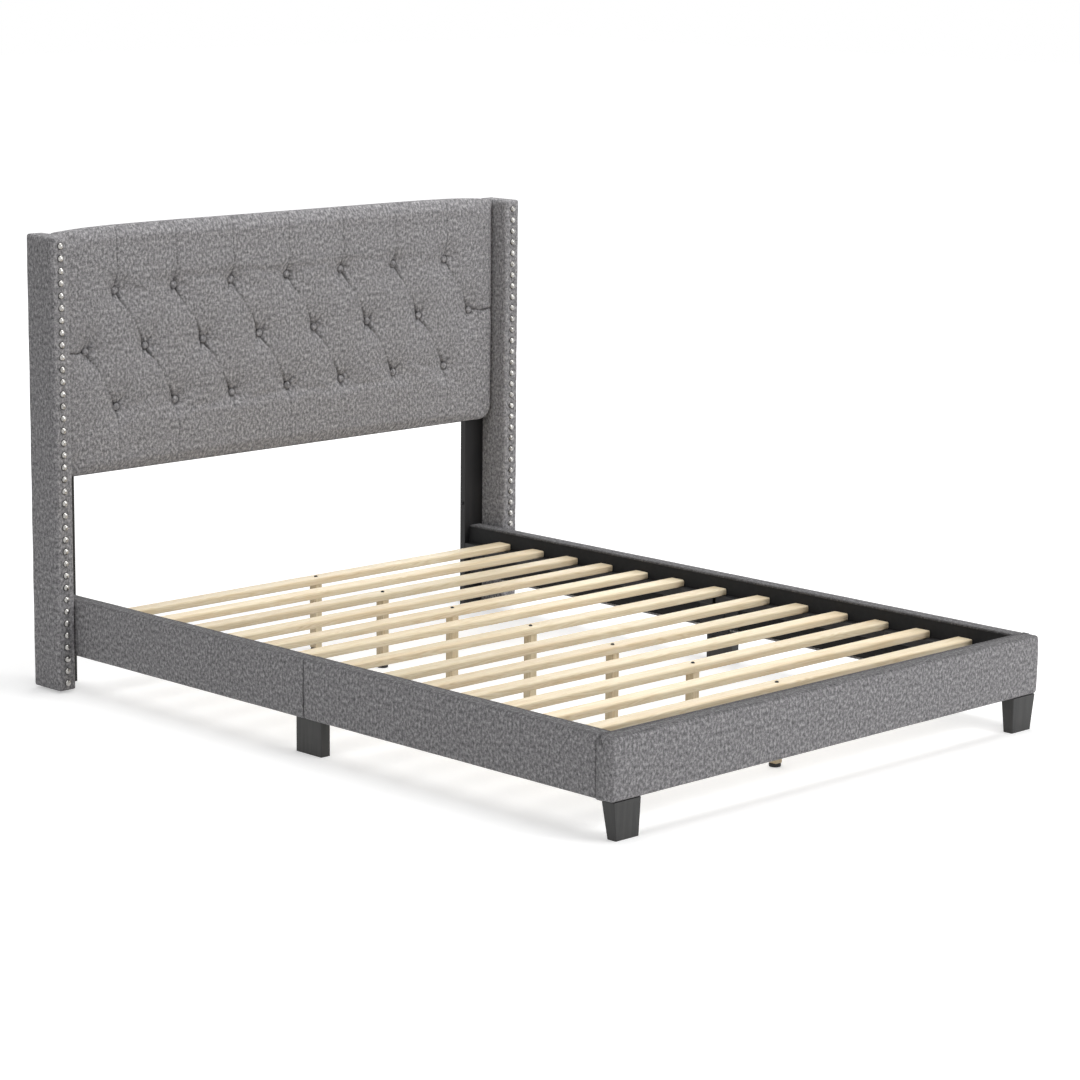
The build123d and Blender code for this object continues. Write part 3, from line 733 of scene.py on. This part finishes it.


# Nailheads: a row of 37 domed, bright nickel heads down the front of each wing.
# They were driven in by hand, so no two sit quite alike, and each has a painted dark reflection round its
# edge.
nickel, tree, surface = finish("nail_nickel", 0.22, metallic=1.0)
place = object_place(tree)
beaten = noise(tree, place, 240, detail=2)
tarnish = noise(tree, place, 70, detail=3)
shine = ramp(tree, tarnish, (0.3, (0.26, 0.25, 0.24)), (0.62, (0.52, 0.51, 0.49)))
# Each head is painted darker towards its edge: a painted reflection of the dark cloth round it.
rim = node(tree, "ShaderNodeAttribute", attribute_name="rim").outputs["Fac"]
rim_painted_dark = scaled(tree, shine, remap(tree, rim, 1.0, 0.08, from_low=0.2))
tree.links.new(rim_painted_dark, surface.inputs["Base Color"])
tree.links.new(remap(tree, tarnish, 0.16, 0.34), surface.inputs["Roughness"])
bump(tree, surface, beaten, 0.0004)
tree, given, out = tree_for("nail_row", [
    ("Start", "Vector"), ("Pitch", "Float"), ("Count", "Int"), ("Diameter", "Float"), ("Height", "Float"),
    ("Seed", "Int")])
head = dome(tree, given["Diameter"], given["Height"], 14, 10)
place = node(tree, "GeometryNodeInputPosition").outputs[0]
rise = node(tree, "ShaderNodeSeparateXYZ", {0: place}).outputs[2]
drop = remap(tree, rise, 1.0, 0.0, from_high=given["Height"])
# How near each point is to the head's edge, for the painted dark reflection.
head = node(tree, "GeometryNodeStoreNamedAttribute", {"Geometry": head, "Name": "rim", "Value": drop},
            data_type="FLOAT").outputs[0]
step = node(tree, "ShaderNodeCombineXYZ", {2: reckon(tree, "MULTIPLY", given["Pitch"], -1.0)})
row = node(tree, "GeometryNodeMeshLine", {
    "Count": given["Count"], "Start Location": given["Start"], "Offset": step.outputs[0]}, mode="OFFSET")
outward, tilt, spin = math.pi / 2, 0.07, 0.5
lean = node(tree, "FunctionNodeRandomValue", {
    "Min": (outward - tilt, -spin, -tilt), "Max": (outward + tilt, spin, tilt), "Seed": given["Seed"]},
    data_type="FLOAT_VECTOR")
driven = node(tree, "GeometryNodeInstanceOnPoints", {
    "Points": row.outputs[0], "Instance": head, "Rotation": lean.outputs[0]})
finish_tree(tree, driven.outputs[0], nickel, out)
for side, sign, seed in (("right", 1, 5), ("left", -1, 8)):
    nails = grow(f"{side}_wing_nailheads", tree, {
        "Start": (sign * nail_x, wing_low.y + 0.0012, nail_heights[0]), "Pitch": nail_pitch,
        "Count": nail_count, "Diameter": 0.0202, "Height": 0.0078, "Seed": seed}, "bed")
    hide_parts(f"{side}_wing_nails")


# Side rails: four boards with black inner faces, end to end in pairs, under padded cloth covers.
# Each cover is pulled over the board's top and under its bottom, and butts the next at the middle.
sides, halves = ("left", "right"), ("foot", "head")
dress([f"{side}_{half}_rail_board" for side in sides for half in halves], board_lining)
low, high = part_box("right_foot_rail_cover")
hollow_low, hollow_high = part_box("right_foot_rail_board")
rail_section = rounded([
    (high.x, low.z, 0.009), (high.x, high.z, 0.009), (low.x, high.z, 0.003),
    (low.x, hollow_high.z + clear, 0), (hollow_high.x + clear, hollow_high.z + clear, 0),
    (hollow_high.x + clear, hollow_low.z - clear, 0), (low.x, hollow_low.z - clear, 0),
    (low.x, low.z, 0.002)], 0.009)
rail_soft, pulled_in = 0.0045, 0.0022


def turned_over(height, top):
    """How far the cloth has turned from the outer face onto the top, from 0 to 1."""
    return clamp((height - top + 0.0075) / 0.006, 0, 1)


for side, sign in (("right", 1), ("left", -1)):
    for half, seed in (("foot", 1.3), ("head", 4.1)):
        low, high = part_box(f"right_{half}_rail_cover")
        middle = (low.z + high.z) / 2
        loops, painted_shade_marks = [], []
        for y in spread(low.y + 0.0003, high.y - 0.0003, 0.012, (0.0, 0.0005, 0.0015, 0.003, 0.005, 0.008)):
            end = min(y - low.y, high.y - y)
            draw = drawn(rail_soft, end)
            seam_shade = 0.85 * bell(end, 0.0022)
            if half == "foot":
                seam_shade = max(seam_shade, 0.95 * bell(y - low.y, 0.0045))
            loop = []
            for a, b in rail_section:
                x, z = a, b
                if a > hollow_high.x + 0.002:
                    x = a - draw * (a - hollow_high.x) / 0.03
                    x -= pulled_in * ((b - middle) / 0.08) ** 2
                    x += 0.0005 * math.sin(y * 23 + seed) * math.sin(b * 31 + y * 7) - 0.0004
                    z = clamp(b, low.z + draw, high.z - draw)
                elif b > hollow_high.z + 0.002:
                    z = b - draw * 0.6 + 0.0003 * math.sin(y * 19 + seed) - 0.0003
                # Shade is painted on the cover's top and on the lip turned down inside it, and at each end,
                # at the seam.
                turned = turned_over(b, high.z) if a > low.x + 0.004 else b > hollow_high.z
                painted_shade_marks.append(max((0.68 if a > low.x + 0.012 else 0.95) * turned, seam_shade))
                loop.append((sign * x, y, z))
            loops.append(loop)
        cover = skin(f"{side}_{half}_rail_padding", loops, grey_linen)
        paint_cloth_shade(cover, painted_shade_marks)
        cloth_map(cover)
        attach(cover, "bed")
        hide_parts(f"{side}_{half}_rail_cover")


# Footboard: a board with a black inner face in one padded cover that wraps its top, bottom and ends.
# It is a little fuller than the rails and closes the foot end of the frame.
dress(["footboard_board"], board_lining)
low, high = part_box("footboard_cover")
hollow_low, hollow_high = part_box("footboard_board")
foot_section = rounded([
    (high.y, low.z, 0.002), (high.y, hollow_low.z - clear, 0),
    (hollow_low.y - clear, hollow_low.z - clear, 0), (hollow_low.y - clear, hollow_high.z + clear, 0),
    (high.y, hollow_high.z + clear, 0),
    (high.y, high.z, 0.002), (low.y, high.z, 0.011), (low.y, low.z, 0.011)], 0.009)
wall = high.x - hollow_high.x
corner_soft, lip_soft = 0.013, 0.005
loops, painted_shade_marks = [], []
ends = (0.0, 0.0005, 0.0015, 0.003, 0.005, wall - 0.0005, wall + 0.0005, 0.009, 0.013, 0.02)
middle = (low.z + high.z) / 2
for x in spread(low.x, high.x, 0.012, ends):
    end = min(x - low.x, high.x - x)
    draw, lip = drawn(corner_soft, end), drawn(lip_soft, end)
    loop = []
    for a, b in foot_section:
        y, z = a, b
        front = a < hollow_low.y - 0.002
        if front:
            y = a + draw * (hollow_low.y - a) / (hollow_low.y - low.y)
            y += pulled_in * ((b - middle) / 0.08) ** 2
            y += 0.0006 * math.sin(x * 17 + 1) * math.sin(b * 29 + x * 5) + 0.0005
        elif end < wall and hollow_low.z - 0.001 < b < hollow_high.z + 0.001:
            y = max(y, high.y - 0.0002)
        pull = draw if front else lip
        z = clamp(z, low.z + pull, high.z - pull)
        # Shade is painted on the cover's top, fading towards the rounded corners, and darkest at its back
        # edge and on the back above the board.
        turned = turned_over(b, high.z) if a < high.y - 0.004 else end > wall and b > hollow_high.z
        painted_shade_marks.append((0.7 * (1 - draw / corner_soft) if a < high.y - 0.014 else 0.95) * turned)
        loop.append((x, y, z))
    loops.append(loop)
foot_padding = skin("footboard_padding", loops, grey_linen)
paint_cloth_shade(foot_padding, painted_shade_marks)
cloth_map(foot_padding)
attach(foot_padding, "bed")
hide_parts("footboard_cover")


# Legs: straight blocks under the rail joints and tapered blocks under the footboard's corners.
# They are hardwood in a thin charcoal stain, through which a straight grain shows.
leg_stain = black_paint("leg_stain", (1, 1, 0.08), (0.036, 0.036, 0.036), (0.066, 0.065, 0.063), 0.5)
dress(["left_mid_leg", "right_mid_leg", "left_foot_leg", "right_foot_leg"], leg_stain)


# Ledges along the boards' inner faces take the slats' ends, and steel plates and brackets tie the boards.
# The ledges are painted battens, and the plates are stamped and powder-coated, with black hexagon bolts.
dress([f"{side}_{half}_slat_ledge" for side in sides for half in halves], post_paint)
black_steel, tree, surface = finish("black_steel", 0.55, specular=0.35)
place = object_place(tree)
orange_peel = noise(tree, place, 700, detail=1)
patch = noise(tree, place, 20, detail=3)
colour_by(tree, surface, patch, (0.3, (0.008, 0.008, 0.009)), (0.7, (0.018, 0.018, 0.019)))
bump(tree, surface, orange_peel, 0.0002)
dress(["foot_corner_brackets", "head_rail_brackets", "frame_bolts"], black_steel)
low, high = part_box("rail_joiner_plates")
seam = (low.y + high.y) / 2
wide, narrow, shoulder, corner, thick = (high.y - low.y) / 2, 0.040, 0.103, 0.004, 0.003
plate_outline = rounded([
    (seam - wide, high.z, corner), (seam - wide, shoulder, corner), (seam - narrow, shoulder, corner),
    (seam - narrow, low.z, corner), (seam + narrow, low.z, corner), (seam + narrow, shoulder, corner),
    (seam + wide, shoulder, corner), (seam + wide, high.z, corner)], 0.02)
count = len(plate_outline)
verts, faces = [], []
for inner, outer in ((high.x - thick, high.x), (low.x + thick, low.x)):
    first = len(verts)
    verts += [(inner, a, b) for a, b in plate_outline] + [(outer, a, b) for a, b in plate_outline]
    faces += [tuple(range(first, first + count)), tuple(range(first + count, first + 2 * count))]
    faces += [tuple(first + i for i in face) for face in net(2, count, around=True)]
plates = piece_from("joiner_plates", verts, faces, black_steel, smooth=False)
easing = plates.modifiers.new("eased", "BEVEL")
easing.width, easing.segments, easing.limit_method = 0.0004, 1, "ANGLE"
baked(plates)
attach(plates, "bed")
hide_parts("rail_joiner_plates")


# Slats: 13 planed pine boards with eased edges, laid across on the ledges.
# Every one has its own run of grain, its own tint and a few warm streaks.
pine, tree, surface = finish("pine", 0.55, specular=0.3)
place = object_place(tree)
board_tint = noise(tree, place, 5.3, detail=0, stretch=(0.05, 1.7, 0))
wave_place = node(tree, "ShaderNodeMapping", {"Vector": place, "Scale": (0.35, 9.0, 9.0)}).outputs[0]
growth = noise(tree, wave_place, 6.0, detail=2, distortion=0.8)
rings = reckon(tree, "SINE", reckon(tree, "MULTIPLY", growth, 70.0))
rings = remap(tree, rings, 0.0, 1.0, from_low=-1.0)
fibre = noise(tree, place, 380, detail=3, roughness=0.6, stretch=(0.035, 1, 1))
streak = noise(tree, place, 34, detail=3, stretch=(0.06, 1, 1))
grain = blend(tree, 0.45, rings, fibre)
base = ramp(tree, grain, (0.2, (0.67, 0.535, 0.34)), (0.55, (0.76, 0.645, 0.45)),
            (0.85, (0.80, 0.695, 0.525)))
warm = ramp(tree, streak, (0.42, (0.87, 0.78, 0.58)), (0.64, (0.76, 0.56, 0.36)))
warmed = node(tree, "ShaderNodeMix", {0: 0.24, 6: base, 7: warm}, data_type="RGBA").outputs[2]
tint = remap(tree, board_tint, 0.9, 1.1, from_low=0.3, from_high=0.7)
tree.links.new(scaled(tree, warmed, tint), surface.inputs["Base Color"])
bump(tree, surface, grain, 0.0004, 0.6)

tree, given, out = tree_for("pine_slat", [
    ("Length", "Float"), ("Width", "Float"), ("Thickness", "Float"), ("Edge Radius", "Float"),
    ("Middle", "Vector")])
end_face = node(tree, "GeometryNodeCurvePrimitiveQuadrilateral", {
    "Width": given["Width"], "Height": given["Thickness"]})
eased = node(tree, "GeometryNodeFilletCurve", mode="POLY")
tree.links.new(end_face.outputs[0], eased.inputs["Curve"])
tree.links.new(given["Edge Radius"], eased.inputs["Radius"])
eased.inputs["Count"].default_value = 6
tip = node(tree, "ShaderNodeCombineXYZ", {0: reckon(tree, "MULTIPLY", given["Length"], 0.5)}).outputs[0]
line = node(tree, "GeometryNodeCurvePrimitiveLine", {"Start": scaled(tree, tip, -1.0), "End": tip})
fine = node(tree, "GeometryNodeResampleCurve", {"Curve": line.outputs[0], "Count": 40})
swept = node(tree, "GeometryNodeCurveToMesh", {
    "Curve": fine.outputs[0], "Profile Curve": eased.outputs[0], "Fill Caps": True})
moved = node(tree, "GeometryNodeTransform", {"Geometry": swept.outputs[0], "Translation": given["Middle"]})
finish_tree(tree, moved.outputs[0], pine, out)
for number in range(1, 14):
    low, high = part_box(f"slat_{number:02d}")
    slat = grow(f"pine_slat_{number:02d}", tree, {
        "Length": high.x - low.x, "Width": high.y - low.y, "Thickness": high.z - low.z,
        "Edge Radius": 0.0048, "Middle": tuple((low + high) / 2)}, "bed")
    mend(slat.data, weld=0.000001, crease=0.6)
    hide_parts(f"slat_{number:02d}")


# Support legs: short pine posts under every second slat, each held by one black bolt from above.
# A round black foot screws into the bottom of each to take up an uneven floor.
post_pine = pine.copy()
post_pine.name = "pine_upright"
for made in post_pine.node_tree.nodes:
    if made.type == "MAPPING":
        x, y, z = made.inputs["Scale"].default_value
        made.inputs["Scale"].default_value = (z, y, x)
dress([f"support_leg_{number}" for number in range(1, 8)], post_pine)

bolt_low, bolt_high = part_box("slat_bolts")
bolt_wide, bolt_tall = 1.12 * (bolt_high.x - bolt_low.x), 1.6 * (bolt_high.z - bolt_low.z)
tree, given, out = tree_for("bolt_heads", [
    ("Geometry", "Geometry"), ("Diameter", "Float"), ("Height", "Float")])
head = dome(tree, given["Diameter"], given["Height"], 20, 8)
finish_tree(tree, set_on(tree, given, head), black_steel, out)
leg_boxes = [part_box(f"support_leg_{number}") for number in range(1, 8)]
supported = [(leg_low + leg_high) / 2 for leg_low, leg_high in leg_boxes]
heads = spots("slat_bolt_heads", [(middle.x, middle.y, bolt_low.z) for middle in supported])
bolts = grow("slat_bolt_heads", tree, {"Diameter": bolt_wide, "Height": bolt_tall}, "bed", heads)
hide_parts("slat_bolts")

foot_plastic, tree, surface = finish("foot_plastic", 0.5, specular=0.4)
place = object_place(tree)
pebble = noise(tree, place, 1400, detail=1)
scuff = noise(tree, place, 90, detail=4)
colour_by(tree, surface, scuff, (0.4, (0.014, 0.014, 0.015)), (0.75, (0.04, 0.04, 0.041)))
bump(tree, surface, pebble, 0.00015)
foot_profile = [(0.0, 0.0), (0.0135, 0.0), (0.0152, 0.0006), (0.016, 0.0022), (0.016, 0.0065),
                (0.0154, 0.0084), (0.0135, 0.0096), (0.0095, 0.01), (0.0058, 0.01)]
thread_root, thread_crest, thread_pitch = 0.0034, 0.0039, 0.0022
for turn in range(14):
    z = 0.0104 + turn * thread_pitch
    foot_profile += [(thread_root, z), (thread_crest, z + 0.0008), (thread_crest, z + 0.0011)]
foot_profile += [(thread_root, 0.0415), (0.0028, 0.044), (0.0, 0.044)]
foot_sides = 36
for number, middle in enumerate(supported, start=1):
    verts = []
    for radius, z in foot_profile:
        radius = max(radius, 0.00001)
        for k in range(foot_sides):
            a = 2 * math.pi * k / foot_sides
            verts.append((middle.x + radius * math.cos(a), middle.y + radius * math.sin(a), z))
    faces = net(len(foot_profile), foot_sides, around=True)
    screw_foot = piece_from(f"screw_foot_{number}", verts, faces, foot_plastic)
    mend(screw_foot.data, weld=0.00004, crease=0.7)
    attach(screw_foot, f"levelling_foot_{number}")
    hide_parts(f"levelling_foot_{number}")
